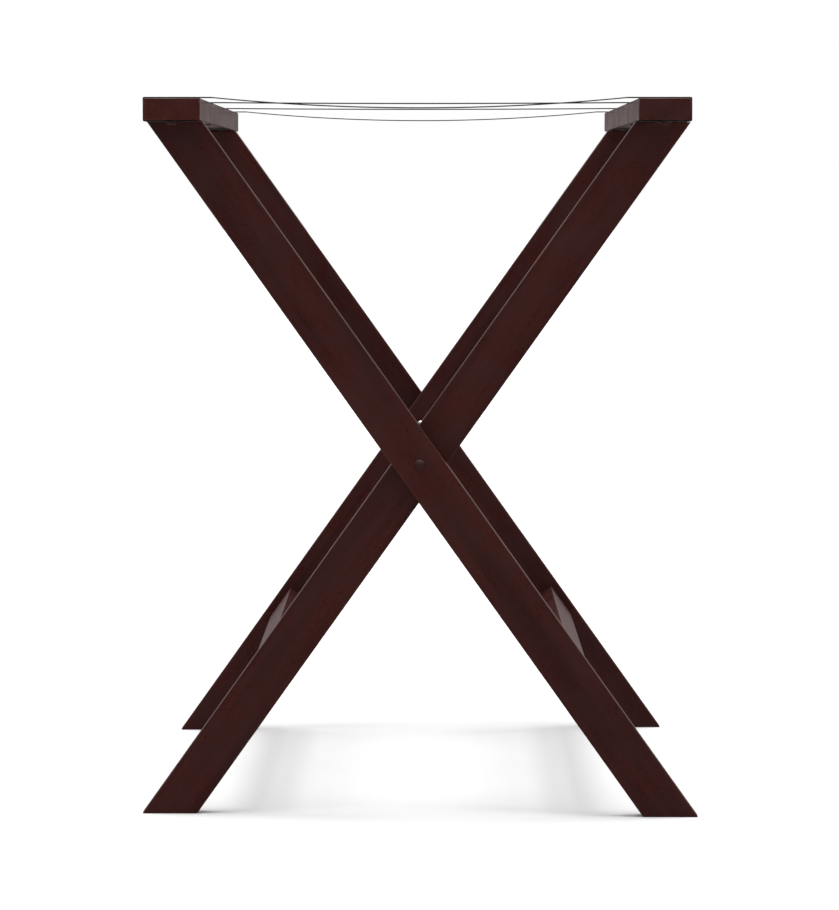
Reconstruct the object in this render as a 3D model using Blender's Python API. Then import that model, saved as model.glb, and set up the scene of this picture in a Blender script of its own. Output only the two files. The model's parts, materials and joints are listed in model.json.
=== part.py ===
"""Folding luggage rack: two wooden scissor frames, a pivot bolt at each end and webbing straps on top.

Metres, +Z up. The origin is on the floor under the middle of the rack. X runs across it and Y along its rails.
The outer frame's legs run from the rail at -X down to the feet at +X. The inner frame's legs run the other
way, inside the outer legs. The inner frame folds about the pivot line, which is parallel to Y.
"""

import math

import bmesh
import bpy
from mathutils import Matrix, Vector

# Driving dimensions
RACK_HEIGHT = 0.5090
PIVOT_HEIGHT = 0.251
LEG_ANGLE = math.radians(35.45)
LEG_WIDTH = 0.032
LEG_THICKNESS = 0.015
OUTER_LEG_FACE = 0.247
LEG_GAP = 0.0012
RAIL_LENGTH = 0.560
RAIL_INNER_EDGE = 0.1527
OUTER_RAIL_WIDTH = 0.0392
INNER_RAIL_WIDTH = 0.0365
RAIL_THICKNESS = 0.0155
STRETCHER_HEIGHT = 0.1005
STRETCHER_WIDTH = 0.028
STRETCHER_THICKNESS = 0.014
STRETCHER_INSET = 0.0055

# Fits
SEAM = 0.0003
WOOD_EDGE = 0.0004
CUTTER_OVERRUN = 0.002

# Dowels
DOWEL_RADIUS = 0.003
DOWEL_BORE = DOWEL_RADIUS + SEAM
DOWEL_CHAMFER = 0.0005
RAIL_DOWEL_OFFSETS = (-0.0125, -0.0025)
RAIL_DOWEL_IN_RAIL = 0.0095
RAIL_DOWEL_IN_LEG = 0.014
STRETCHER_DOWEL_SPACING = 0.013
STRETCHER_DOWEL_IN_LEG = 0.009
STRETCHER_DOWEL_IN_BOARD = 0.016

# Pivot hardware
BOLT_RADIUS = 0.0020
BOLT_BORE = BOLT_RADIUS + SEAM
BOLT_HEAD_RADIUS = 0.0040
BOLT_HEAD_HEIGHT = 0.0015
BOLT_HEAD_OUTLINE = ((0, 1), (0.55, 0.88), (0.86, 0.55), (1, 0.15), (1, 0))
BOLT_TIP_CHAMFER = 0.0005
BOLT_IN_NUT = 0.0042
SPACER_RADIUS = 0.008
SPACER_THICKNESS = LEG_GAP - 2 * SEAM
WASHER_RADIUS = 0.0045
WASHER_THICKNESS = 0.0008
NUT_RADIUS = 0.0040
NUT_HEIGHT = 0.0034
NUT_DOME_RADIUS = 0.0032
NUT_DOME_START = 0.001
NUT_DOME_SHOULDER = 0.0041

# Straps
STRAP_WIDTH = 0.025
STRAP_THICKNESS = 0.0004
STRAP_Y = (-0.265, -0.110, 0.110, 0.265)
STRAP_SAGS = (0.0072, 0.0006, 0.0006, 0.0072)
STRAP_LEVEL_PAST_RAIL = 0.0075
STRAP_END_MARGIN = 0.002
STRAP_CORNER_RADIUS = WOOD_EDGE + SEAM + STRAP_THICKNESS / 2
STRAP_HOLE = 0.0024
SCREW_RADIUS = 0.0015
SCREW_HEAD_RADIUS = 0.0033
SCREW_HEAD_HEIGHT = 0.0011
SCREW_HEAD_OUTLINE = ((0, 1), (0.6, 0.85), (1, 0.25), (1, 0))
SCREW_POINT_LENGTH = 0.003
SCREW_IN_RAIL = 0.0105
CUP_RADIUS = 0.0055
CUP_THICKNESS = 0.0008

# Facets
ROUND_STEPS = 16
SMALL_STEPS = 12
CORNER_STEPS = 4
SAG_STEPS = 12

# Derived places
RAIL_BOTTOM = RACK_HEIGHT - RAIL_THICKNESS
LEG_TOP = RAIL_BOTTOM - SEAM
INNER_LEG_FACE = OUTER_LEG_FACE - LEG_THICKNESS - LEG_GAP
ALONG_Y = Vector((0, 1, 0))
UP = Vector((0, 0, 1))
DOWN = Vector((0, 0, -1))


def clear_scene():
    for thing in list(bpy.data.objects):
        bpy.data.objects.remove(thing)


def make_material(name, colour, roughness, metallic=0.0):
    material = bpy.data.materials.new(name)
    material.use_nodes = True
    shader = material.node_tree.nodes["Principled BSDF"]
    shader.inputs["Base Color"].default_value = (*colour, 1.0)
    shader.inputs["Roughness"].default_value = roughness
    shader.inputs["Metallic"].default_value = metallic
    return material


def finish_mesh(bm, name):
    bmesh.ops.recalc_face_normals(bm, faces=bm.faces)
    mesh = bpy.data.meshes.new(name)
    bm.to_mesh(mesh)
    bm.free()
    return mesh


def add_object(name, mesh, material, location=(0, 0, 0), turn=0.0, parent=None):
    """Place a mesh at a world location, turned about Y, under its frame's empty."""
    thing = bpy.data.objects.new(name, mesh)
    bpy.context.scene.collection.objects.link(thing)
    if material:
        mesh.materials.append(material)
    thing.rotation_euler = (0, turn, 0)
    thing.location = Vector(location)
    if parent:
        thing.parent = parent
        thing.location = Vector(location) - parent.location
    return thing


def make_prism(name, outline, depth):
    """Extrude an outline of (x, z) points by depth along Y, centred on y = 0."""
    bm = bmesh.new()
    front = bm.faces.new([bm.verts.new((x, -depth / 2, z)) for x, z in outline])
    grown = bmesh.ops.extrude_face_region(bm, geom=[front])
    corners = [item for item in grown["geom"] if isinstance(item, bmesh.types.BMVert)]
    bmesh.ops.translate(bm, verts=corners, vec=(0, depth, 0))
    return finish_mesh(bm, name)


def make_turned(name, profile, steps, closed_ring=False):
    """Spin a profile of (radius, height) points about Z. One that isn't a ring starts and ends on the axis."""
    bm = bmesh.new()
    verts = [bm.verts.new((radius, 0, height)) for radius, height in profile]
    edges = [bm.edges.new(pair) for pair in zip(verts, verts[1:])]
    if closed_ring:
        edges.append(bm.edges.new((verts[-1], verts[0])))
    bmesh.ops.spin(bm, geom=verts + edges, axis=UP, cent=(0, 0, 0), angle=2 * math.pi, steps=steps)
    bmesh.ops.remove_doubles(bm, verts=bm.verts, dist=1e-6)
    mesh = finish_mesh(bm, name)
    mesh.shade_smooth()
    mesh.set_sharp_from_angle(angle=math.radians(40))
    return mesh


def rod_profile(radius, length, chamfer):
    """A plain round rod with chamfered ends, from height 0 to length."""
    return [
        (0, 0),
        (radius - chamfer, 0),
        (radius, chamfer),
        (radius, length - chamfer),
        (radius - chamfer, length),
        (0, length),
    ]


def ring_profile(inner, outer, thickness):
    return [(inner, 0), (outer, 0), (outer, thickness), (inner, thickness)]


def head_profile(outline, radius, height):
    """A bolt's or screw's head below height 0, from an outline in shares of its radius and height."""
    return [(across * radius, -up * height) for across, up in outline]


def stand_along(thing, direction):
    """Turn a piece that was modelled along Z so that it points along direction."""
    thing.rotation_euler = Vector(direction).to_track_quat("Z", "Y").to_euler()
    return thing


def soften_edges(thing):
    bevel = thing.modifiers.new("edges", "BEVEL")
    bevel.width = WOOD_EDGE
    bevel.segments = 1
    bevel.limit_method = "ANGLE"
    bevel.angle_limit = math.radians(30)


def drill(thing, holes):
    """Cut round holes, each a (world start, direction, radius, depth), starting just outside the surface."""
    bm = bmesh.new()
    for start, direction, radius, depth in holes:
        aim = Vector(direction).to_track_quat("Z", "Y").to_matrix().to_4x4()
        middle = Vector(start) + Vector(direction) * (depth - CUTTER_OVERRUN) / 2
        bmesh.ops.create_cone(
            bm,
            cap_ends=True,
            segments=SMALL_STEPS,
            radius1=radius,
            radius2=radius,
            depth=depth + CUTTER_OVERRUN,
            matrix=Matrix.Translation(middle) @ aim,
        )
    cutter = add_object(thing.name + "_holes", finish_mesh(bm, thing.name + "_holes"), None)
    cutter.hide_render = True
    cutter.display_type = "WIRE"
    cut = thing.modifiers.new("holes", "BOOLEAN")
    cut.operation = "DIFFERENCE"
    cut.object = cutter


class Frame:
    """One scissor frame: side is the sign of its rail's X, and its feet stand on the other side."""

    def __init__(self, name, side, leg_face, rail_width, parent):
        self.name = name
        self.side = side
        self.leg_face = leg_face
        self.rail_width = rail_width
        self.parent = parent

    def rail_x(self):
        return self.side * (RAIL_INNER_EDGE + self.rail_width / 2)

    def leg_centre_x(self, height):
        return self.side * math.tan(LEG_ANGLE) * (height - PIVOT_HEIGHT)

    def leg_turn(self):
        return self.side * LEG_ANGLE

    def along_leg(self):
        return Vector((self.side * math.sin(LEG_ANGLE), 0, math.cos(LEG_ANGLE)))

    def outward(self):
        """Square to the leg, towards the side that faces up and out at the foot."""
        return Vector((-self.side * math.cos(LEG_ANGLE), 0, math.sin(LEG_ANGLE)))

    def stretcher_centre(self):
        on_leg = Vector((self.leg_centre_x(STRETCHER_HEIGHT), 0, STRETCHER_HEIGHT))
        return on_leg + self.outward() * (LEG_WIDTH / 2 - STRETCHER_INSET - STRETCHER_THICKNESS / 2)

    def stretcher_dowel_places(self):
        step = self.along_leg() * STRETCHER_DOWEL_SPACING / 2
        return [self.stretcher_centre() - step, self.stretcher_centre() + step]

    def rail_dowel_x(self):
        """Both dowels stand towards the rail's inner edge, where the slanting leg has wood below them."""
        return [self.leg_centre_x(LEG_TOP) + self.side * offset for offset in RAIL_DOWEL_OFFSETS]


def build_leg(frame, end_name, end, wood):
    turn = frame.leg_turn()
    middle_y = end * (frame.leg_face - LEG_THICKNESS / 2)

    def cut_height(height, x):
        return (height - PIVOT_HEIGHT + x * math.sin(turn)) / math.cos(turn)

    half = LEG_WIDTH / 2
    outline = [
        (-half, cut_height(0, -half)),
        (half, cut_height(0, half)),
        (half, cut_height(LEG_TOP, half)),
        (-half, cut_height(LEG_TOP, -half)),
    ]
    name = frame.name + "_leg_" + end_name
    mesh = make_prism(name, outline, LEG_THICKNESS)
    leg = add_object(name, mesh, wood, (0, middle_y, PIVOT_HEIGHT), turn, frame.parent)
    soften_edges(leg)
    outer_y = end * frame.leg_face
    inner_y = end * (frame.leg_face - LEG_THICKNESS)
    inwards = -end * ALONG_Y
    holes = [((0, outer_y, PIVOT_HEIGHT), inwards, BOLT_BORE, LEG_THICKNESS + CUTTER_OVERRUN)]
    for place in frame.stretcher_dowel_places():
        holes.append(((place.x, inner_y, place.z), -inwards, DOWEL_BORE, STRETCHER_DOWEL_IN_LEG))
    for x in frame.rail_dowel_x():
        holes.append(((x, middle_y, LEG_TOP), DOWN, DOWEL_BORE, RAIL_DOWEL_IN_LEG))
    drill(leg, holes)


def build_rail(frame, wood):
    half_width = frame.rail_width / 2
    half_height = RAIL_THICKNESS / 2
    outline = [
        (-half_width, -half_height),
        (half_width, -half_height),
        (half_width, half_height),
        (-half_width, half_height),
    ]
    name = frame.name + "_rail"
    place = (frame.rail_x(), 0, RACK_HEIGHT - half_height)
    rail = add_object(name, make_prism(name, outline, RAIL_LENGTH), wood, place, 0, frame.parent)
    soften_edges(rail)
    holes = []
    for end in (-1, 1):
        for x in frame.rail_dowel_x():
            place = (x, end * (frame.leg_face - LEG_THICKNESS / 2), RAIL_BOTTOM)
            holes.append((place, UP, DOWEL_BORE, RAIL_DOWEL_IN_RAIL))
    for y in STRAP_Y:
        place = (frame.rail_x(), y, RAIL_BOTTOM)
        holes.append((place, UP, SCREW_RADIUS + SEAM, SCREW_IN_RAIL))
    drill(rail, holes)


def build_stretcher(frame, wood):
    half_width = STRETCHER_WIDTH / 2
    half_thickness = STRETCHER_THICKNESS / 2
    outline = [
        (-half_thickness, -half_width),
        (half_thickness, -half_width),
        (half_thickness, half_width),
        (-half_thickness, half_width),
    ]
    name = frame.name + "_stretcher"
    length = 2 * (frame.leg_face - LEG_THICKNESS - SEAM)
    mesh = make_prism(name, outline, length)
    board = add_object(name, mesh, wood, frame.stretcher_centre(), frame.leg_turn(), frame.parent)
    soften_edges(board)
    holes = []
    for end in (-1, 1):
        for place in frame.stretcher_dowel_places():
            start = (place.x, end * length / 2, place.z)
            holes.append((start, -end * ALONG_Y, DOWEL_BORE, STRETCHER_DOWEL_IN_BOARD))
    drill(board, holes)


def build_dowels(frame, end_name, end, dowel_wood):
    rail_length = RAIL_DOWEL_IN_RAIL + SEAM + RAIL_DOWEL_IN_LEG - 2 * SEAM
    middle_y = end * (frame.leg_face - LEG_THICKNESS / 2)
    for number, x in enumerate(frame.rail_dowel_x(), 1):
        name = f"{frame.name}_rail_dowel_{end_name}_{number}"
        mesh = make_turned(name, rod_profile(DOWEL_RADIUS, rail_length, DOWEL_CHAMFER), SMALL_STEPS)
        bottom = LEG_TOP - RAIL_DOWEL_IN_LEG + SEAM
        add_object(name, mesh, dowel_wood, (x, middle_y, bottom), 0, frame.parent)
    board_length = STRETCHER_DOWEL_IN_LEG + SEAM + STRETCHER_DOWEL_IN_BOARD - 2 * SEAM
    start_y = end * (frame.leg_face - LEG_THICKNESS + STRETCHER_DOWEL_IN_LEG - SEAM)
    for number, place in enumerate(frame.stretcher_dowel_places(), 1):
        name = f"{frame.name}_stretcher_dowel_{end_name}_{number}"
        mesh = make_turned(name, rod_profile(DOWEL_RADIUS, board_length, DOWEL_CHAMFER), SMALL_STEPS)
        dowel = add_object(name, mesh, dowel_wood, (place.x, start_y, place.z), 0, frame.parent)
        stand_along(dowel, -end * ALONG_Y)


def build_pivot(end_name, end, dark_steel, bright_steel, nylon):
    """The bolt's head is on the outer leg's face; washer and cap nut are on the inner leg's inner face."""
    inwards = -end * ALONG_Y
    head_y = end * (OUTER_LEG_FACE + SEAM)
    inner_face = end * (INNER_LEG_FACE - LEG_THICKNESS)
    grip = abs(head_y - inner_face) + WASHER_THICKNESS + 2 * SEAM
    shank_end = grip + BOLT_IN_NUT
    bolt_profile = head_profile(BOLT_HEAD_OUTLINE, BOLT_HEAD_RADIUS, BOLT_HEAD_HEIGHT) + [
        (BOLT_RADIUS, 0),
        (BOLT_RADIUS, shank_end - BOLT_TIP_CHAMFER),
        (BOLT_RADIUS - BOLT_TIP_CHAMFER, shank_end),
        (0, shank_end),
    ]
    name = "pivot_bolt_" + end_name
    mesh = make_turned(name, bolt_profile, ROUND_STEPS)
    bolt = add_object(name, mesh, dark_steel, (0, head_y, PIVOT_HEIGHT))
    stand_along(bolt, inwards)

    name = "pivot_spacer_" + end_name
    spacer_y = end * (OUTER_LEG_FACE - LEG_THICKNESS - SEAM)
    mesh = make_turned(name, ring_profile(BOLT_BORE, SPACER_RADIUS, SPACER_THICKNESS), ROUND_STEPS, True)
    stand_along(add_object(name, mesh, nylon, (0, spacer_y, PIVOT_HEIGHT)), inwards)

    name = "pivot_washer_" + end_name
    washer_y = inner_face - end * SEAM
    mesh = make_turned(name, ring_profile(BOLT_BORE, WASHER_RADIUS, WASHER_THICKNESS), ROUND_STEPS, True)
    stand_along(add_object(name, mesh, bright_steel, (0, washer_y, PIVOT_HEIGHT)), inwards)

    build_cap_nut("pivot_nut_" + end_name, end, washer_y - end * (WASHER_THICKNESS + SEAM), bright_steel)


def build_cap_nut(name, end, seat_y, bright_steel):
    inwards = -end * ALONG_Y
    bm = bmesh.new()
    bmesh.ops.create_cone(
        bm,
        cap_ends=True,
        segments=6,
        radius1=NUT_RADIUS,
        radius2=NUT_RADIUS,
        depth=NUT_HEIGHT,
        matrix=Matrix.Translation((0, 0, NUT_HEIGHT / 2)),
    )
    nut = add_object(name, finish_mesh(bm, name), bright_steel, (0, seat_y, PIVOT_HEIGHT))
    stand_along(nut, inwards)
    dome_profile = [(0, NUT_DOME_START), (NUT_DOME_RADIUS, NUT_DOME_START)]
    for step in range(CORNER_STEPS):
        angle = math.pi / 2 * step / CORNER_STEPS
        radius = NUT_DOME_RADIUS * math.cos(angle)
        dome_profile.append((radius, NUT_DOME_SHOULDER + NUT_DOME_RADIUS * math.sin(angle)))
    dome_profile.append((0, NUT_DOME_SHOULDER + NUT_DOME_RADIUS))
    dome = add_object(name + "_dome", make_turned(name + "_dome", dome_profile, ROUND_STEPS), None)
    dome.location = nut.location
    stand_along(dome, inwards)
    dome.hide_render = True
    dome.display_type = "WIRE"
    join = nut.modifiers.new("dome", "BOOLEAN")
    join.operation = "UNION"
    join.object = dome
    drill(nut, [((0, seat_y, PIVOT_HEIGHT), inwards, BOLT_BORE, BOLT_IN_NUT + SEAM)])


def corner_points(centre, start_angle, end_angle):
    """An arc of the strap's middle line round a rail's edge, its angles in degrees from +X towards +Z."""
    points = []
    for step in range(CORNER_STEPS + 1):
        angle = math.radians(start_angle + (end_angle - start_angle) * step / CORNER_STEPS)
        across = STRAP_CORNER_RADIUS * math.cos(angle)
        up = STRAP_CORNER_RADIUS * math.sin(angle)
        points.append((centre[0] + across, centre[1] + up))
    return points


def half_strap_line(rail_width, sag):
    """The strap's middle line at -X as (x, z): from its end under the rail, round the rail and over to x = 0."""
    offset = SEAM + STRAP_THICKNESS / 2
    inner_x = -RAIL_INNER_EDGE
    outer_x = inner_x - rail_width
    under_z = RAIL_BOTTOM - offset
    top_z = RACK_HEIGHT + offset
    points = [(inner_x - STRAP_END_MARGIN, under_z)]
    points += corner_points((outer_x + WOOD_EDGE, RAIL_BOTTOM + WOOD_EDGE), 270, 180)
    points += corner_points((outer_x + WOOD_EDGE, RACK_HEIGHT - WOOD_EDGE), 180, 90)
    level_end = inner_x + STRAP_LEVEL_PAST_RAIL
    for step in range(SAG_STEPS + 1):
        share = step / SAG_STEPS
        drop = sag * (1 - (1 - share) ** 2)
        points.append((level_end * (1 - share), top_z - drop))
    return points


def strap_line(outer, inner, sag):
    """The whole middle line, from under the outer frame's rail to under the inner frame's rail."""
    from_outer = half_strap_line(outer.rail_width, sag)
    from_inner = half_strap_line(inner.rail_width, sag)
    return from_outer + [(-x, z) for x, z in reversed(from_inner[:-1])]


def build_strap(number, y, outer, inner, webbing):
    line = strap_line(outer, inner, STRAP_SAGS[number - 1])
    bm = bmesh.new()
    stations = []
    for index, (x, z) in enumerate(line):
        before = line[max(index - 1, 0)]
        after = line[min(index + 1, len(line) - 1)]
        along = Vector((after[0] - before[0], 0, after[1] - before[1])).normalized()
        across = Vector((-along.z, 0, along.x)) * STRAP_THICKNESS / 2
        middle = Vector((x, 0, z))
        ring = []
        for side, edge in ((1, -1), (1, 1), (-1, 1), (-1, -1)):
            ring.append(bm.verts.new(middle + side * across + Vector((0, edge * STRAP_WIDTH / 2, 0))))
        stations.append(ring)
    for ring, following in zip(stations, stations[1:]):
        for corner in range(4):
            other = (corner + 1) % 4
            bm.faces.new((ring[corner], ring[other], following[other], following[corner]))
    bm.faces.new(stations[0])
    bm.faces.new(stations[-1])
    name = f"strap_{number}"
    strap = add_object(name, finish_mesh(bm, name), webbing, (0, y, 0))
    holes = []
    for frame in (outer, inner):
        place = (frame.rail_x(), y, RAIL_BOTTOM - SEAM - STRAP_THICKNESS)
        holes.append((place, UP, STRAP_HOLE, STRAP_THICKNESS + SEAM / 2))
    drill(strap, holes)


def build_strap_fastener(frame, number, y, steel):
    cup_top = RAIL_BOTTOM - 2 * SEAM - STRAP_THICKNESS
    name = f"{frame.name}_cup_washer_{number}"
    profile = ring_profile(SCREW_RADIUS + SEAM, CUP_RADIUS, CUP_THICKNESS)
    mesh = make_turned(name, profile, SMALL_STEPS, True)
    cup = add_object(name, mesh, steel, (frame.rail_x(), y, cup_top), 0, frame.parent)
    stand_along(cup, DOWN)
    head_top = cup_top - CUP_THICKNESS - SEAM
    shank_length = RAIL_BOTTOM + SCREW_IN_RAIL - SEAM - head_top
    screw_profile = head_profile(SCREW_HEAD_OUTLINE, SCREW_HEAD_RADIUS, SCREW_HEAD_HEIGHT) + [
        (SCREW_RADIUS, 0),
        (SCREW_RADIUS, shank_length - SCREW_POINT_LENGTH),
        (0, shank_length),
    ]
    name = f"{frame.name}_strap_screw_{number}"
    mesh = make_turned(name, screw_profile, SMALL_STEPS)
    add_object(name, mesh, steel, (frame.rail_x(), y, head_top), 0, frame.parent)


def main():
    clear_scene()
    wood = make_material("mahogany_lacquer", (0.040, 0.013, 0.011), 0.3)
    dowel_wood = make_material("dowel_wood", (0.50, 0.33, 0.18), 0.6)
    webbing = make_material("black_webbing", (0.012, 0.012, 0.013), 0.8)
    dark_steel = make_material("bronzed_steel", (0.05, 0.035, 0.03), 0.35, 0.9)
    bright_steel = make_material("nickel_steel", (0.60, 0.59, 0.57), 0.25, 1.0)
    nylon = make_material("nylon", (0.70, 0.70, 0.67), 0.5)

    fold_axis = bpy.data.objects.new("fold_axis", None)
    fold_axis.location = (0, 0, PIVOT_HEIGHT)
    bpy.context.scene.collection.objects.link(fold_axis)

    outer = Frame("outer", -1, OUTER_LEG_FACE, OUTER_RAIL_WIDTH, None)
    inner = Frame("inner", 1, INNER_LEG_FACE, INNER_RAIL_WIDTH, fold_axis)
    for frame in (outer, inner):
        build_rail(frame, wood)
        build_stretcher(frame, wood)
        for end_name, end in (("near", -1), ("far", 1)):
            build_leg(frame, end_name, end, wood)
            build_dowels(frame, end_name, end, dowel_wood)
        for number, y in enumerate(STRAP_Y, 1):
            build_strap_fastener(frame, number, y, dark_steel)
    for end_name, end in (("near", -1), ("far", 1)):
        build_pivot(end_name, end, dark_steel, bright_steel, nylon)
    for number, y in enumerate(STRAP_Y, 1):
        build_strap(number, y, outer, inner, webbing)


main()
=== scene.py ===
import json
import math

import bmesh
import bpy
import numpy as np
from mathutils import Matrix, Vector


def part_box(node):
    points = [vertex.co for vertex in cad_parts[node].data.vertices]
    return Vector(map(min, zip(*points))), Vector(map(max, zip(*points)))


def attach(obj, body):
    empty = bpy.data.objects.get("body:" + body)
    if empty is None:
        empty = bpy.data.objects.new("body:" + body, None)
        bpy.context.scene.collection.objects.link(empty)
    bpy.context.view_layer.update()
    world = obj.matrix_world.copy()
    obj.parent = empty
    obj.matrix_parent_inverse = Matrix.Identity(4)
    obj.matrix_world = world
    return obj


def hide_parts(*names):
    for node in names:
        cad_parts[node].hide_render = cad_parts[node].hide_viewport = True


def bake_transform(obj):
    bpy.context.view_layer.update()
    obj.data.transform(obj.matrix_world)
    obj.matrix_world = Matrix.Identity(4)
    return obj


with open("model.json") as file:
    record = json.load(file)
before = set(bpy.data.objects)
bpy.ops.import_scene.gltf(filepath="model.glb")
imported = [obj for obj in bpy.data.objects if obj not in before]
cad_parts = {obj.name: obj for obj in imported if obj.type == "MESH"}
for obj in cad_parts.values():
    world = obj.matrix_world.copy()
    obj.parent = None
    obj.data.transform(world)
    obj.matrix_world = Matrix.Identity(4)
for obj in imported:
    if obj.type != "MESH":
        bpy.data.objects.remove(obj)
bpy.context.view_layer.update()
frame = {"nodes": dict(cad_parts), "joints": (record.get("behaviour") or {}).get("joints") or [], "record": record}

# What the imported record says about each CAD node
RECORD = frame["record"]
SLOT_OF = {part["node"]: part["material_slot"] for part in RECORD["subparts"]}
BODY_OF = {node: body for body, nodes in RECORD["behaviour"]["bodies"].items() for node in nodes}

# The rack's measures, in metres and radians
PIVOT = Vector(frame["joints"][0]["pos_m"])
LEG_LEAN = math.radians(35.45)
LEG_WIDTH = 0.032
SIDES = {"outer": -1, "inner": 1}
ALONG_Y = Vector((0, 1, 0))
UP = Vector((0, 0, 1))

# Wood edges
MERGE_DISTANCE = 0.00001
FLAT_ANGLE = math.radians(1)
EDGE_ANGLE = math.radians(38)
ROUNDING = 0.00015
ROUNDING_SEGMENTS = 2
FAR_FROM_EDGES = 1.0

# Straps, as the CAD model has them
STRAP_WIDTH = 0.025
STRAP_THICKNESS = 0.0004
STRAP_GAP = 0.0003
STRAP_GAPS_ON_TOP = (0.0004, 0.0001, 0.0001, 0.0004)
RAIL_CHAMFER = 0.0004
STRAP_SAGS = (0.0072, 0.0006, 0.0006, 0.0072)
STRAP_LEVEL_PAST_RAIL = 0.0075
STRAP_END_MARGIN = 0.002
STRAP_NUMBERS = (1, 2, 3, 4)
CORNER_STEPS = 8
SAG_STEPS = 36
SELVEDGE_STEPS = 4
SAME_PLACE = 1e-7
SELVEDGE_SHARP_ANGLE = math.radians(60)

# Where each strap is cut into three
STRAP_SEAM_X = 0.125

# Hardware, as the CAD model has it
BOLT_RADIUS = 0.0020
BOLT_BORE = 0.0023
BOLT_HEAD_RADIUS = 0.0040
BOLT_HEAD_HEIGHT = 0.0015
BOLT_TIP_CHAMFER = 0.0005
SPACER_RADIUS = 0.0080
WASHER_RADIUS = 0.0045
WASHER_BEVEL = 0.0006
RING_ROUNDING = 0.0001
NUT_HEIGHT = 0.0034
NUT_BORE_DEPTH = 0.0045
NUT_DOME_RADIUS = 0.0032
NUT_DOME_SHOULDER = 0.0041
SCREW_RADIUS = 0.0015
SCREW_HEAD_RADIUS = 0.0033
SCREW_HEAD_HEIGHT = 0.0011
SCREW_POINT_LENGTH = 0.003
SCREW_TIP_RADIUS = 0.0001
ROUND_STEPS = 48
DOME_STEPS = 12
HARDWARE_SHARP_ANGLE = math.radians(32)

# The screw's head from its recess to its seat, as (share of its radius, share of its height)
SCREW_HEAD_OUTLINE = ((0.60, 1), (0.72, 0.90), (0.84, 0.72), (0.93, 0.48), (1, 0.15), (0.97, 0))

# The screw's cross recess, from its floor to its edge, as (length of its arms, their width, height)
CROSS_OUTLINE = (
    (0.0010, 0.0005, 0.0002),
    (0.0016, 0.0007, -0.80 * SCREW_HEAD_HEIGHT),
    (0.0019, 0.0009, -0.99 * SCREW_HEAD_HEIGHT),
)

# The cup washer's outline, as (radius, share of its thickness)
CUP_OUTLINE = (
    (0.0018, 0),
    (0.0050, 0),
    (0.00535, 0.12),
    (0.0055, 0.40),
    (0.00535, 0.68),
    (0.0050, 0.90),
    (0.0045, 1),
    (0.0038, 0.98),
    (0.0033, 0.80),
    (0.0018, 0.70),
)

# Seeds that vary the grain, weave and finish
WOOD_SEED = 0.37
WOOD_SEED_STEP = 0.61
HARDWARE_SEED = 0.23
HARDWARE_SEED_STEP = 0.47
STRAP_SEED_STEP = 0.31

# Studio
FLOOR_RADIUS = 40.0
FLOOR_DROP = 0.0002
FLOOR_SIDES = 96
SUN_STRENGTH = 1.62
SUN_SPREAD = math.radians(30)
CEILING_LIGHT = 1.22
FAR_WALL_LIGHT = 0.22
WALL_LIGHT = 0.06

# Camera
CAMERA_PLACE = (0.00824, -3.08378, 0.44605)
CAMERA_PITCH = math.radians(-3.791)
CAMERA_YAW = math.radians(0.1665)
CAMERA_LENS = 159.02
CAMERA_SENSOR = 36.0


# ---------------------------------------------------------------- shader helpers


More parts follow.
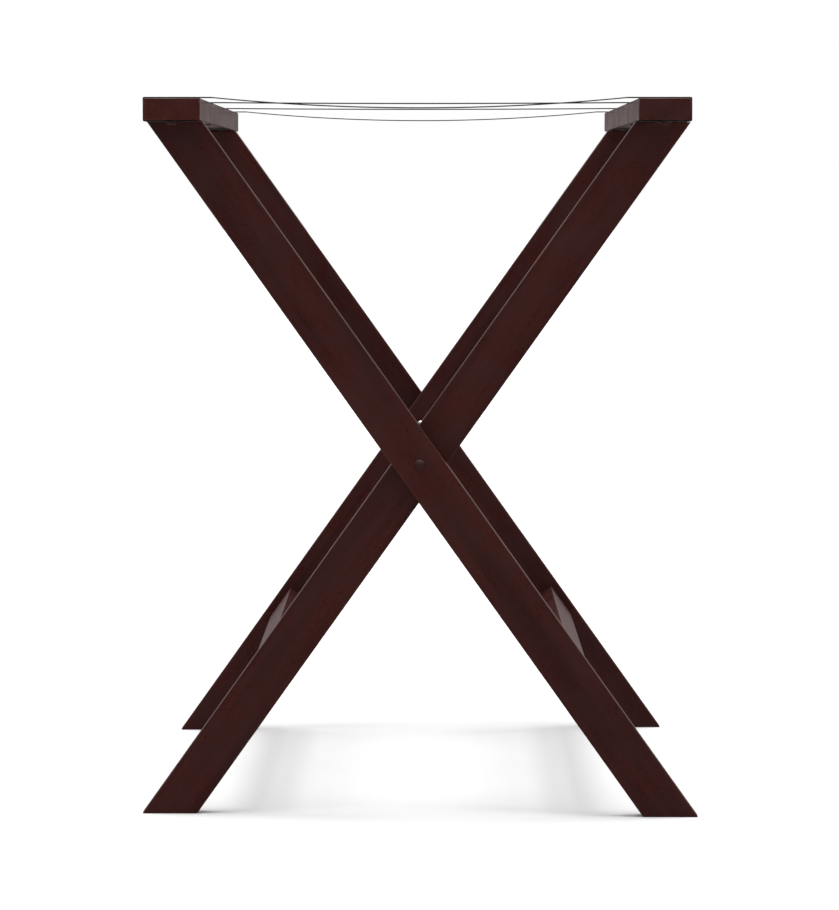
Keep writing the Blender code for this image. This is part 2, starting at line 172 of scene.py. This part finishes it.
class Graph:
    """Builds one material's or world's node tree."""

    def __init__(self, owner):
        owner.use_nodes = True
        self.owner = owner
        self.tree = owner.node_tree
        self.tree.nodes.clear()

    def connect(self, socket, value):
        if isinstance(value, bpy.types.NodeSocket):
            self.tree.links.new(value, socket)
        else:
            socket.default_value = value

    def add(self, kind, inputs=(), **settings):
        """Add a node. inputs maps a socket's name or number to a value or to another node's output."""
        node = self.tree.nodes.new(kind)
        for name, value in settings.items():
            setattr(node, name, value)
        for name, value in dict(inputs).items():
            self.connect(node.inputs[name], value)
        return node

    def math(self, operation, first, second=0.0, clamp=False):
        node = self.add("ShaderNodeMath", {0: first, 1: second}, operation=operation, use_clamp=clamp)
        return node.outputs[0]

    def vector(self, operation, first, second=(0.0, 0.0, 0.0)):
        return self.add("ShaderNodeVectorMath", {0: first, 1: second}, operation=operation).outputs[0]

    def split(self, vector):
        return self.add("ShaderNodeSeparateXYZ", {0: vector}).outputs

    def join(self, x, y, z):
        return self.add("ShaderNodeCombineXYZ", {0: x, 1: y, 2: z}).outputs[0]

    def noise(self, vector, scale, detail=2.0, roughness=0.5, distortion=0.0):
        """Noise with its own scale along each axis, per metre."""
        inputs = {
            "Vector": self.vector("MULTIPLY", vector, scale),
            "Scale": 1.0,
            "Detail": detail,
            "Roughness": roughness,
            "Distortion": distortion,
        }
        return self.add("ShaderNodeTexNoise", inputs).outputs["Fac"]

    def remap(self, value, low, high, to_low=0.0, to_high=1.0):
        inputs = {"Value": value, "From Min": low, "From Max": high, "To Min": to_low, "To Max": to_high}
        return self.add("ShaderNodeMapRange", inputs, interpolation_type="SMOOTHSTEP").outputs["Result"]

    def mix(self, factor, first, second):
        """Mix two colours, whose sockets are numbers 6 and 7."""
        node = self.add("ShaderNodeMix", data_type="RGBA")
        for index, value in ((0, factor), (6, first), (7, second)):
            if isinstance(value, tuple) and len(value) == 3:
                value = (*value, 1.0)
            self.connect(node.inputs[index], value)
        return node.outputs[2]

    def mix_values(self, factor, first, second):
        """Mix two numbers, whose sockets are numbers 2 and 3."""
        return self.add("ShaderNodeMix", {0: factor, 2: first, 3: second}).outputs[0]

    def attribute(self, name):
        return self.add("ShaderNodeAttribute", attribute_name=name)

    def bump(self, height, strength, distance, normal=None):
        inputs = {"Height": height, "Strength": strength, "Distance": distance}
        if normal:
            inputs["Normal"] = normal
        return self.add("ShaderNodeBump", inputs).outputs["Normal"]

    def finish(self, inputs):
        shader = self.add("ShaderNodeBsdfPrincipled")
        for name, value in inputs.items():
            if isinstance(value, tuple) and len(value) == 3:
                value = (*value, 1.0)
            self.connect(shader.inputs[name], value)
        self.add("ShaderNodeOutputMaterial", {"Surface": shader.outputs[0]})
        return self.owner


def new_graph(name):
    return Graph(bpy.data.materials.new(name))


# ---------------------------------------------------------------- materials


def make_lacquered_wood():
    """Dark mahogany stain under semi-gloss lacquer. Grain runs along local z; x and y cross it."""
    g = new_graph("lacquered_wood")
    local = g.attribute("local").outputs["Vector"]
    seed = g.attribute("seed").outputs["Fac"]
    shift = g.join(seed, g.math("MULTIPLY", seed, 1.7), g.math("MULTIPLY", seed, 2.3))
    place = g.vector("ADD", local, shift)
    bend = g.math("MULTIPLY", g.math("SUBTRACT", g.noise(place, (9.0, 9.0, 5.0), 1.0), 0.5), 0.012)
    bent = g.vector("ADD", place, g.join(bend, bend, 0.0))

    figure = g.noise(bent, (75.0, 75.0, 4.0), 3.0, 0.55)
    streaks = g.noise(bent, (420.0, 420.0, 8.0), 2.0, 0.55)
    fibre = g.noise(place, (1500.0, 1500.0, 30.0), 2.0, 0.5)
    cloud = g.noise(place, (22.0, 22.0, 13.0), 2.0, 0.5)
    pores = g.remap(g.noise(place, (2300.0, 2300.0, 70.0), 1.0, 0.5), 0.58, 0.72)

    colour = g.mix(g.remap(figure, 0.3, 0.7), (0.035, 0.0045, 0.0033), (0.054, 0.0079, 0.0055))
    colour = g.mix(g.remap(streaks, 0.35, 0.75, 0.0, 0.42), colour, (0.023, 0.0032, 0.0025))
    colour = g.mix(g.remap(cloud, 0.35, 0.7, 0.0, 0.35), colour, (0.060, 0.0095, 0.0058))
    colour = g.mix(g.remap(fibre, 0.45, 0.75, 0.0, 0.22), colour, (0.072, 0.0125, 0.0080))
    colour = g.mix(g.math("MULTIPLY", pores, 0.20), colour, (0.014, 0.0022, 0.0018))

    half = g.attribute("half").outputs["Vector"]
    inset = g.split(g.vector("SUBTRACT", half, g.vector("ABSOLUTE", local)))
    smallest = g.math("MINIMUM", g.math("MINIMUM", inset[0], inset[1]), inset[2])
    largest = g.math("MAXIMUM", g.math("MAXIMUM", inset[0], inset[1]), inset[2])
    total = g.math("ADD", g.math("ADD", inset[0], inset[1]), inset[2])
    from_edge = g.math("SUBTRACT", g.math("SUBTRACT", total, smallest), largest)
    near_edge = g.remap(from_edge, 0.0001, 0.0010, 1.0, 0.0)
    rubbed = g.remap(g.noise(place, (90.0, 90.0, 34.0), 3.0, 0.55), 0.38, 0.72)
    wear = g.math("MULTIPLY", near_edge, rubbed)
    colour = g.mix(g.math("MULTIPLY", wear, 0.35), colour, (0.120, 0.040, 0.024))

    smudge = g.noise(place, (48.0, 48.0, 34.0), 3.0, 0.6)
    roughness = g.remap(smudge, 0.3, 0.7, 0.25, 0.37)
    roughness = g.math("ADD", roughness, g.math("MULTIPLY", pores, 0.10))
    roughness = g.math("ADD", roughness, g.math("MULTIPLY", wear, 0.12), True)

    grain_height = g.math("SUBTRACT", g.math("MULTIPLY", fibre, 0.5), g.math("MULTIPLY", pores, 0.6))
    normal = g.bump(grain_height, 0.10, 0.00010)
    peel = g.noise(place, (330.0, 330.0, 330.0), 2.0, 0.5)
    coat_normal = g.bump(peel, 0.10, 0.00025)
    normal = g.bump(peel, 0.12, 0.00025, normal)
    return g.finish(
        {
            "Base Color": colour,
            "Roughness": roughness,
            "Normal": normal,
            "Coat Weight": 0.2,
            "Coat Roughness": 0.16,
            "Coat Normal": coat_normal,
        }
    )


def make_dowel_wood(name, scale_along):
    """Raw beech, with short flecks along the dowel."""
    g = new_graph(name)
    place = g.add("ShaderNodeTexCoord").outputs["Object"]
    grain = g.noise(place, scale_along, 3.0, 0.6, 0.3)
    fleck = g.remap(g.noise(place, tuple(2.2 * s for s in scale_along), 1.0), 0.6, 0.72)
    colour = g.mix(grain, (0.42, 0.255, 0.130), (0.60, 0.410, 0.235))
    colour = g.mix(g.math("MULTIPLY", fleck, 0.5), colour, (0.27, 0.140, 0.062))
    roughness = g.remap(grain, 0.3, 0.7, 0.52, 0.70)
    return g.finish({"Base Color": colour, "Roughness": roughness, "Normal": g.bump(grain, 0.3, 0.0002)})


def make_webbing():
    """Black polyester webbing: two-thread plain weave, with tight selvedges. local x is across, z along."""
    g = new_graph("webbing")
    local = g.attribute("local").outputs["Vector"]
    seed = g.attribute("seed").outputs["Fac"]
    axes = g.split(local)
    across, along = axes["X"], axes["Z"]
    thread_width = 0.00115
    thread_pitch = 0.00150
    cord_pitch = 0.00085
    column = g.math("DIVIDE", g.math("ADD", across, 0.05), thread_width)
    odd = g.math("MODULO", g.math("FLOOR", column), 2.0)
    row = g.math("ADD", g.math("DIVIDE", along, thread_pitch), g.math("MULTIPLY", odd, 0.5))
    warp = g.math("SINE", g.math("MULTIPLY", g.math("FRACT", column), math.pi))
    pick = g.math("ABSOLUTE", g.math("SINE", g.math("MULTIPLY", row, math.pi)))
    weave = g.math("MULTIPLY", g.math("POWER", warp, 0.6), g.math("POWER", pick, 0.7))

    from_middle = g.math("ABSOLUTE", across)
    selvedge = g.remap(from_middle, 0.0108, 0.0114)
    cord = g.math("ABSOLUTE", g.math("SINE", g.math("MULTIPLY", along, math.pi / cord_pitch)))
    height = g.mix_values(selvedge, weave, cord)

    place = g.vector("ADD", local, g.join(seed, seed, seed))
    yarn = g.noise(place, (5200.0, 5200.0, 700.0), 2.0, 0.6)
    dust = g.remap(g.noise(place, (130.0, 130.0, 60.0), 4.0, 0.6), 0.5, 0.8)
    # Painted highlight on the thread crowns and selvedge cords, and painted shade in the gaps between threads: the
    # colour follows the weave's height
    colour = g.mix(height, (0.0030, 0.0030, 0.0034), (0.0130, 0.0128, 0.0140))
    colour = g.mix(g.math("MULTIPLY", yarn, 0.4), colour, (0.0180, 0.0175, 0.0185))
    fuzz = g.math("MULTIPLY", g.remap(from_middle, 0.0116, 0.0125), dust)
    colour = g.mix(g.math("MULTIPLY", fuzz, 0.5), colour, (0.060, 0.057, 0.055))
    roughness = g.remap(yarn, 0.3, 0.7, 0.58, 0.78)
    normal = g.bump(height, 0.8, 0.00022)
    normal = g.bump(yarn, 0.35, 0.00006, normal)
    return g.finish(
        {
            "Base Color": colour,
            "Roughness": roughness,
            "Normal": normal,
            "Specular IOR Level": 0.20,
            "Sheen Weight": 0.06,
            "Sheen Roughness": 0.4,
        }
    )


def make_steel(name, metallic, dark, light, rough_low, rough_high):
    """Turned metal: fine rings about local z, smudges, and brighter rims."""
    g = new_graph(name)
    local = g.attribute("local").outputs["Vector"]
    seed = g.attribute("seed").outputs["Fac"]
    axes = g.split(local)
    spoke = g.join(axes["X"], axes["Y"], 0.0)
    radius = g.add("ShaderNodeVectorMath", {0: spoke}, operation="LENGTH").outputs["Value"]
    rings = g.noise(g.join(radius, seed, axes["Z"]), (9000.0, 1.0, 9000.0), 2.0, 0.7)
    place = g.vector("ADD", local, g.join(seed, seed, seed))
    smudge = g.noise(place, (420.0, 420.0, 420.0), 4.0, 0.65)
    speck = g.remap(g.noise(place, (2600.0, 2600.0, 2600.0), 2.0), 0.62, 0.75)
    colour = g.mix(g.remap(smudge, 0.3, 0.7), dark, light)
    colour = g.mix(g.math("MULTIPLY", speck, 0.35), colour, tuple(0.45 * c for c in dark))
    pointiness = g.add("ShaderNodeNewGeometry").outputs["Pointiness"]
    rim = g.remap(pointiness, 0.53, 0.60)
    colour = g.mix(g.math("MULTIPLY", rim, 0.5), colour, tuple(min(1.0, 1.5 * c + 0.03) for c in light))
    roughness = g.remap(smudge, 0.3, 0.7, rough_low, rough_high)
    roughness = g.math("ADD", roughness, g.math("MULTIPLY", rings, 0.06), True)
    normal = g.bump(rings, 0.22, 0.00003)
    return g.finish({"Base Color": colour, "Metallic": metallic, "Roughness": roughness, "Normal": normal})


def make_nylon():
    g = new_graph("nylon")
    local = g.attribute("local").outputs["Vector"]
    mottle = g.noise(local, (700.0, 700.0, 700.0), 3.0, 0.6)
    colour = g.mix(mottle, (0.62, 0.615, 0.57), (0.74, 0.735, 0.70))
    roughness = g.remap(mottle, 0.3, 0.7, 0.42, 0.58)
    normal = g.bump(mottle, 0.12, 0.0001)
    return g.finish({"Base Color": colour, "Roughness": roughness, "Normal": normal})


# ---------------------------------------------------------------- studio


def make_world():
    """White behind the rack. What lights it is a bright ceiling, dim walls and a warmer far wall."""
    world = bpy.data.worlds.new("studio")
    bpy.context.scene.world = world
    g = Graph(world)
    direction = g.add("ShaderNodeTexCoord").outputs["Generated"]
    along = g.split(direction)
    ceiling = g.remap(along["Z"], 0.15, 0.9, 0.0, CEILING_LIGHT)
    far_wall = g.remap(along["Y"], 0.1, 0.95, 0.0, FAR_WALL_LIGHT)
    grey = g.math("ADD", ceiling, WALL_LIGHT)
    warm = g.vector("MULTIPLY", g.join(far_wall, far_wall, far_wall), (1.08, 0.86, 0.85))
    light = g.vector("ADD", g.join(grey, grey, grey), warm)
    dim = g.add("ShaderNodeBackground", {"Color": light, "Strength": 1.0})
    white = g.add("ShaderNodeBackground", {"Color": (1, 1, 1, 1), "Strength": 1.0})
    seen = g.add("ShaderNodeLightPath").outputs["Is Camera Ray"]
    mixed = g.add("ShaderNodeMixShader", {0: seen, 1: dim.outputs[0], 2: white.outputs[0]})
    g.add("ShaderNodeOutputWorld", {"Surface": mixed.outputs[0]})


def make_floor():
    bm = bmesh.new()
    bmesh.ops.create_circle(bm, cap_ends=True, segments=FLOOR_SIDES, radius=FLOOR_RADIUS)
    mesh = bpy.data.meshes.new("floor")
    bm.to_mesh(mesh)
    bm.free()
    floor = bpy.data.objects.new("floor", mesh)
    bpy.context.scene.collection.objects.link(floor)
    floor.location = (0, 0, -FLOOR_DROP)
    g = new_graph("floor")
    place = g.add("ShaderNodeTexCoord").outputs["Object"]
    grit = g.noise(place, (30.0, 30.0, 30.0), 3.0)
    material = g.finish(
        {
            "Base Color": g.mix(grit, (0.915, 0.915, 0.915), (0.925, 0.925, 0.925)),
            "Roughness": 0.9,
            "Specular IOR Level": 0.0,
        }
    )
    mesh.materials.append(material)
    floor.visible_glossy = False


def make_lights():
    """One broad soft light straight above."""
    data = bpy.data.lights.new("overhead", "SUN")
    data.energy = SUN_STRENGTH
    data.angle = SUN_SPREAD
    light = bpy.data.objects.new("overhead", data)
    light.location = (0, 0, 2)
    bpy.context.scene.collection.objects.link(light)


def make_camera():
    data = bpy.data.cameras.new("camera")
    data.sensor_width = CAMERA_SENSOR
    data.lens = CAMERA_LENS
    camera = bpy.data.objects.new("camera", data)
    camera.location = CAMERA_PLACE
    camera.rotation_euler = (math.pi / 2 + CAMERA_PITCH, 0, CAMERA_YAW)
    bpy.context.scene.collection.objects.link(camera)
    bpy.context.scene.camera = camera


# ---------------------------------------------------------------- mesh helpers


def add_piece(name, mesh, material):
    piece = bpy.data.objects.new(name, mesh)
    bpy.context.scene.collection.objects.link(piece)
    mesh.materials.clear()
    mesh.materials.append(material)
    return piece


def write_local(mesh, points, seed, half=None):
    """Store each vertex's place in the piece's own axes for the material, with the seed and half sizes."""
    count = len(mesh.vertices)
    local = mesh.attributes.new("local", "FLOAT_VECTOR", "POINT")
    local.data.foreach_set("vector", np.asarray(points, np.float32).ravel())
    number = mesh.attributes.new("seed", "FLOAT", "POINT")
    number.data.foreach_set("value", np.full(count, seed, np.float32))
    if half:
        sizes = mesh.attributes.new("half", "FLOAT_VECTOR", "POINT")
        sizes.data.foreach_set("vector", np.tile(np.asarray(half, np.float32), count))


def stand_for(piece, node):
    """The piece takes the CAD node's place and body."""
    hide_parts(node)
    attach(piece, BODY_OF[node])
    return piece


# ---------------------------------------------------------------- wood


def build_wood(node, seed, origin, axes, half, material):
    """Copy a CAD piece with rounded edges. axes are its across, through and along directions."""
    bm = bmesh.new()
    bm.from_mesh(frame["nodes"][node].data)
    bmesh.ops.remove_doubles(bm, verts=bm.verts, dist=MERGE_DISTANCE)
    bmesh.ops.dissolve_limit(bm, angle_limit=FLAT_ANGLE, verts=bm.verts, edges=bm.edges)
    sharp = [e for e in bm.edges if e.is_manifold and e.calc_face_angle() > EDGE_ANGLE]
    bmesh.ops.bevel(
        bm,
        geom=sharp,
        offset=ROUNDING,
        segments=ROUNDING_SEGMENTS,
        profile=0.5,
        affect="EDGES",
        clamp_overlap=True,
    )
    bmesh.ops.recalc_face_normals(bm, faces=bm.faces)
    mesh = bpy.data.meshes.new(node + "_wood")
    bm.to_mesh(mesh)
    bm.free()
    mesh.shade_smooth()
    turn = Matrix(axes)
    points = [turn @ (vert.co - origin) for vert in mesh.vertices]
    write_local(mesh, points, seed, half)
    piece = add_piece(node + "_wood", mesh, material)
    weighted = piece.modifiers.new("flat_faces", "WEIGHTED_NORMAL")
    weighted.keep_sharp = True
    return stand_for(piece, node)


def box_middle(node):
    low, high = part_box(node)
    return (low + high) / 2, (high - low) / 2


def build_wood_pieces(material):
    seed = WOOD_SEED
    for name, side in SIDES.items():
        along_leg = Vector((side * math.sin(LEG_LEAN), 0, math.cos(LEG_LEAN)))
        across_leg = Vector((math.cos(LEG_LEAN), 0, -side * math.sin(LEG_LEAN)))
        for end in ("near", "far"):
            node = f"{name}_leg_{end}"
            middle, half = box_middle(node)
            origin = Vector((PIVOT.x, middle.y, PIVOT.z))
            sizes = (LEG_WIDTH / 2, half.y, FAR_FROM_EDGES)
            build_wood(node, seed, origin, (across_leg, ALONG_Y, along_leg), sizes, material)
            seed += WOOD_SEED_STEP
        node = name + "_rail"
        middle, half = box_middle(node)
        build_wood(node, seed, middle, (Vector((1, 0, 0)), UP, ALONG_Y), (half.x, half.z, half.y), material)
        seed += WOOD_SEED_STEP
        node = name + "_stretcher"
        middle, half = box_middle(node)
        half_width, half_thickness = solve_board(half, math.sin(LEG_LEAN), math.cos(LEG_LEAN))
        sizes = (half_width, half_thickness, half.y)
        build_wood(node, seed, middle, (along_leg, across_leg, ALONG_Y), sizes, material)
        seed += WOOD_SEED_STEP


def solve_board(half, sine, cosine):
    """Half width and half thickness of a board turned by the legs' lean, from its upright box."""
    spread = cosine * cosine - sine * sine
    half_width = (half.z * cosine - half.x * sine) / spread
    half_thickness = (half.x * cosine - half.z * sine) / spread
    return half_width, half_thickness


# ---------------------------------------------------------------- straps


def arc(centre, radii, angles, steps):
    """Points from one angle to another, in degrees, while the radius goes from one value to another."""
    points = []
    for step in range(steps + 1):
        share = step / steps
        radius = radii[0] + (radii[1] - radii[0]) * share
        angle = math.radians(angles[0] + (angles[1] - angles[0]) * share)
        points.append((centre[0] + radius * math.cos(angle), centre[1] + radius * math.sin(angle)))
    return points


def half_strap_line(rail, number):
    """The strap's middle line on the side of -X, from its end under the rail to x = 0, as (x, z)."""
    low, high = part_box(rail)
    outer_x = -max(abs(low.x), abs(high.x))
    inner_x = -min(abs(low.x), abs(high.x))
    offset = STRAP_GAP + STRAP_THICKNESS / 2
    top_offset = STRAP_GAPS_ON_TOP[number - 1] + STRAP_THICKNESS / 2
    radius = RAIL_CHAMFER + offset
    top_radius = RAIL_CHAMFER + top_offset
    corner_x = outer_x + RAIL_CHAMFER
    points = [(inner_x - STRAP_END_MARGIN, low.z - offset)]
    points += arc((corner_x, low.z + RAIL_CHAMFER), (radius, radius), (270, 180), CORNER_STEPS)
    points += arc((corner_x, high.z - RAIL_CHAMFER), (radius, top_radius), (180, 90), CORNER_STEPS)
    level_end = inner_x + STRAP_LEVEL_PAST_RAIL
    for step in range(SAG_STEPS + 1):
        share = step / SAG_STEPS
        drop = STRAP_SAGS[number - 1] * (1 - (1 - share) ** 2)
        points.append((level_end * (1 - share), high.z + top_offset - drop))
    return points


def whole_strap_line(number):
    """Points (x, z, length so far) from the end under the outer rail to the end under the inner rail."""
    from_outer = half_strap_line("outer_rail", number)
    from_inner = [(-x, z) for x, z in half_strap_line("inner_rail", number)]
    line = from_outer + from_inner[-2::-1]
    for seam_x in (-STRAP_SEAM_X, STRAP_SEAM_X):
        index = next(i for i in range(len(line) - 1) if line[i][0] < seam_x < line[i + 1][0])
        (x0, z0), (x1, z1) = line[index], line[index + 1]
        line.insert(index + 1, (seam_x, z0 + (z1 - z0) * (seam_x - x0) / (x1 - x0)))
    measured = [(*line[0], 0.0)]
    for before, after in zip(line, line[1:]):
        measured.append((*after, measured[-1][2] + math.dist(before, after)))
    return measured


def strap_section():
    """Closed outline of the webbing's cross-section as (across, up), with round selvedges."""
    half_width = (STRAP_WIDTH - STRAP_THICKNESS) / 2
    radius = STRAP_THICKNESS / 2
    right = arc((half_width, 0), (radius, radius), (-90, 90), SELVEDGE_STEPS)
    left = arc((-half_width, 0), (radius, radius), (90, 270), SELVEDGE_STEPS)
    return right + left


def build_strap_piece(name, stations, y, seed, material):
    """stations are (middle point, upward direction, length so far)."""
    bm = bmesh.new()
    section = strap_section()
    rings, local = [], []
    for middle, up, length in stations:
        ring = []
        for across, rise in section:
            ring.append(bm.verts.new(middle + up * rise + ALONG_Y * (y + across)))
            local.append((across, rise, length))
        rings.append(ring)
    for ring, following in zip(rings, rings[1:]):
        for index in range(len(section)):
            other = (index + 1) % len(section)
            bm.faces.new((ring[index], ring[other], following[other], following[index]))
    bm.faces.new(rings[0])
    bm.faces.new(rings[-1])
    bm.verts.index_update()
    bmesh.ops.recalc_face_normals(bm, faces=bm.faces)
    mesh = bpy.data.meshes.new(name)
    bm.to_mesh(mesh)
    bm.free()
    mesh.shade_smooth()
    mesh.set_sharp_from_angle(angle=SELVEDGE_SHARP_ANGLE)
    write_local(mesh, local, seed)
    return add_piece(name, mesh, material)


def build_strap(number, material):
    """Three lengths of one strap, cut at the seams."""
    node = f"strap_{number}"
    middle = box_middle(node)[0]
    line = whole_strap_line(number)
    stations = []
    for index, (x, z, length) in enumerate(line):
        before = line[max(index - 1, 0)]
        after = line[min(index + 1, len(line) - 1)]
        along = Vector((after[0] - before[0], 0, after[1] - before[1])).normalized()
        up = Vector((-along.z, 0, along.x))
        stations.append((Vector((x, 0, z)), up, length))
    first, last = [i for i, s in enumerate(stations) if abs(abs(s[0].x) - STRAP_SEAM_X) < SAME_PLACE]
    lengths = {
        "outer_end": stations[: first + 1],
        "middle": stations[first : last + 1],
        "inner_end": stations[last:],
    }
    for part, run in lengths.items():
        piece = build_strap_piece(f"{node}_{part}", run, middle.y, STRAP_SEED_STEP * number, material)
        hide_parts(node)
        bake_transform(piece)
        length = run[-1][2] - run[0][2]


# ---------------------------------------------------------------- hardware


def hex_reach(angle, flats):
    """Distance from the middle of a hexagon, that wide across its flats, to its outline at an angle."""
    return flats / 2 / math.cos((angle + math.pi / 6) % (math.pi / 3) - math.pi / 6)


def cross_reach(angle, length, width):
    """The same for a cross with arms of that length and width."""
    turned = (angle + math.pi / 4) % (math.pi / 2) - math.pi / 4
    return min(length / math.cos(turned), width / 2 / max(abs(math.sin(turned)), 1e-6))


def loft(name, rings, closed, place, direction, seed, material):
    """Join rings, each a (reach at an angle, height) pair, and stand the piece along direction."""
    bm = bmesh.new()
    loops, local = [], []
    for reach, height in rings:
        loop = []
        for step in range(ROUND_STEPS):
            angle = 2 * math.pi * step / ROUND_STEPS
            radius = reach(angle)
            point = Vector((radius * math.cos(angle), radius * math.sin(angle), height))
            loop.append(bm.verts.new(point))
            local.append(tuple(point))
        loops.append(loop)
    pairs = list(zip(loops, loops[1:]))
    if closed:
        pairs.append((loops[-1], loops[0]))
    for loop, following in pairs:
        for index in range(ROUND_STEPS):
            other = (index + 1) % ROUND_STEPS
            bm.faces.new((loop[index], loop[other], following[other], following[index]))
    if not closed:
        bm.faces.new(loops[0])
        bm.faces.new(loops[-1])
    bm.verts.index_update()
    bmesh.ops.recalc_face_normals(bm, faces=bm.faces)
    mesh = bpy.data.meshes.new(name)
    bm.to_mesh(mesh)
    bm.free()
    mesh.shade_smooth()
    mesh.set_sharp_from_angle(angle=HARDWARE_SHARP_ANGLE)
    write_local(mesh, local, seed)
    piece = add_piece(name, mesh, material)
    piece.matrix_world = Matrix.Translation(place) @ direction.to_track_quat("Z", "Y").to_matrix().to_4x4()
    return piece


def round_ring(radius, height):
    return (lambda angle: radius, height)


def hex_ring(flats, height, cap=1.0):
    """A hexagon, cut back to a circle of radius cap where that is smaller."""
    return (lambda angle: min(hex_reach(angle, flats), cap), height)


def cross_ring(length, width, height):
    return (lambda angle: cross_reach(angle, length, width), height)


def dome_rings(radius, base, rise):
    """Rings from the rim of a half ellipsoid, at height base, to just short of its top."""
    angles = [math.pi / 2 * step / DOME_STEPS for step in range(DOME_STEPS)]
    return [round_ring(radius * math.cos(angle), base + rise * math.sin(angle)) for angle in angles]


def build_bolt(end, sign, seed, material):
    node = "pivot_bolt_" + end
    low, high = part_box(node)
    inwards = -sign * ALONG_Y
    length = high.y - low.y - BOLT_HEAD_HEIGHT
    outer_y = low.y if sign < 0 else high.y
    seat = Vector((PIVOT.x, outer_y - sign * BOLT_HEAD_HEIGHT, PIVOT.z))
    rings = dome_rings(BOLT_HEAD_RADIUS, 0, -BOLT_HEAD_HEIGHT)[::-1]
    rings += [
        round_ring(BOLT_RADIUS, 0),
        round_ring(BOLT_RADIUS, length - BOLT_TIP_CHAMFER),
        round_ring(BOLT_RADIUS - BOLT_TIP_CHAMFER, length),
    ]
    stand_for(loft(node + "_turned", rings, False, seat, inwards, seed, material), node)


def build_ring(node, outer, bevel, direction, seed, material):
    """A ring round the pivot bolt, as thick as its CAD box, bevelled on the face that direction leaves."""
    middle, half = box_middle(node)
    thickness = 2 * half.y
    inner = BOLT_BORE
    rings = [
        round_ring(inner + RING_ROUNDING, 0),
        round_ring(outer - RING_ROUNDING, 0),
        round_ring(outer, RING_ROUNDING),
        round_ring(outer, thickness - bevel),
        round_ring(outer - bevel, thickness),
        round_ring(inner + RING_ROUNDING, thickness),
        round_ring(inner, thickness - RING_ROUNDING),
        round_ring(inner, RING_ROUNDING),
    ]
    start = middle - direction * half.y
    stand_for(loft(node + "_turned", rings, True, start, direction, seed, material), node)


def build_cap_nut(end, sign, seed, material):
    node = "pivot_nut_" + end
    low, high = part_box(node)
    inwards = -sign * ALONG_Y
    seat = Vector((PIVOT.x, low.y if sign < 0 else high.y, PIVOT.z))
    length = high.y - low.y
    flats = min(high.x - low.x, high.z - low.z)
    corner = max(high.x - low.x, high.z - low.z) / 2
    rings = [
        round_ring(BOLT_BORE, NUT_BORE_DEPTH),
        round_ring(BOLT_BORE, 0.0),
        hex_ring(flats, 0.0, flats / 2),
        hex_ring(flats, (corner - flats / 2) / 2),
        hex_ring(flats, NUT_HEIGHT - (corner - NUT_DOME_RADIUS)),
        hex_ring(flats, NUT_HEIGHT - (flats / 2 - NUT_DOME_RADIUS), flats / 2),
        round_ring(NUT_DOME_RADIUS, NUT_HEIGHT),
    ]
    rings += dome_rings(NUT_DOME_RADIUS, NUT_DOME_SHOULDER, length - NUT_DOME_SHOULDER)
    stand_for(loft(node + "_turned", rings, False, seat, inwards, seed, material), node)


def build_cup_washer(node, seed, material):
    middle, half = box_middle(node)
    seat = Vector((middle.x, middle.y, middle.z + half.z))
    thickness = 2 * half.z
    rings = [round_ring(radius, share * thickness) for radius, share in CUP_OUTLINE]
    stand_for(loft(node + "_turned", rings, True, seat, -UP, seed, material), node)


def build_screw(node, seed, material):
    low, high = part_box(node)
    seat = Vector(((low.x + high.x) / 2, (low.y + high.y) / 2, low.z + SCREW_HEAD_HEIGHT))
    length = high.z - seat.z
    rings = [cross_ring(arm, width, height) for arm, width, height in CROSS_OUTLINE]
    rings += [round_ring(r * SCREW_HEAD_RADIUS, -h * SCREW_HEAD_HEIGHT) for r, h in SCREW_HEAD_OUTLINE]
    rings += [
        round_ring(SCREW_RADIUS, 0),
        round_ring(SCREW_RADIUS, length - SCREW_POINT_LENGTH),
        round_ring(SCREW_TIP_RADIUS, length),
    ]
    stand_for(loft(node + "_turned", rings, False, seat, UP, seed, material), node)


def build_hardware(materials):
    bright_steel = materials["bright_steel"]
    dark_steel = materials["dark_steel"]
    nylon = materials["nylon"]
    seed = HARDWARE_SEED
    for end, sign in (("near", -1), ("far", 1)):
        inwards = -sign * ALONG_Y
        build_bolt(end, sign, seed, dark_steel)
        build_cap_nut(end, sign, seed + 0.1, bright_steel)
        build_ring("pivot_washer_" + end, WASHER_RADIUS, WASHER_BEVEL, inwards, seed, bright_steel)
        build_ring("pivot_spacer_" + end, SPACER_RADIUS, RING_ROUNDING, inwards, seed, nylon)
        seed += HARDWARE_SEED_STEP
    for side in SIDES:
        for number in STRAP_NUMBERS:
            build_cup_washer(f"{side}_cup_washer_{number}", seed, dark_steel)
            build_screw(f"{side}_strap_screw_{number}", seed + 0.2, dark_steel)
            seed += HARDWARE_SEED_STEP


# ---------------------------------------------------------------- the scene

make_camera()
make_world()
make_floor()
make_lights()
bpy.context.scene.view_settings.view_transform = "Standard"
bpy.context.scene.view_settings.look = "None"

MATERIALS = {
    "lacquered_wood": make_lacquered_wood(),
    "webbing": make_webbing(),
    "dark_steel": make_steel("dark_steel", 0.4, (0.046, 0.0135, 0.0105), (0.072, 0.026, 0.021), 0.30, 0.44),
    "bright_steel": make_steel("bright_steel", 1.0, (0.66, 0.65, 0.62), (0.82, 0.81, 0.78), 0.12, 0.22),
    "nylon": make_nylon(),
}
UPRIGHT_DOWELS = make_dowel_wood("dowel_wood_upright", (900.0, 900.0, 90.0))
LEVEL_DOWELS = make_dowel_wood("dowel_wood_level", (900.0, 90.0, 900.0))

build_wood_pieces(MATERIALS["lacquered_wood"])
for number in STRAP_NUMBERS:
    build_strap(number, MATERIALS["webbing"])
build_hardware(MATERIALS)
for name, node in frame["nodes"].items():
    if SLOT_OF[name] == "dowel_wood":
        node.data.materials.clear()
        node.data.materials.append(UPRIGHT_DOWELS if "rail" in name else LEVEL_DOWELS)
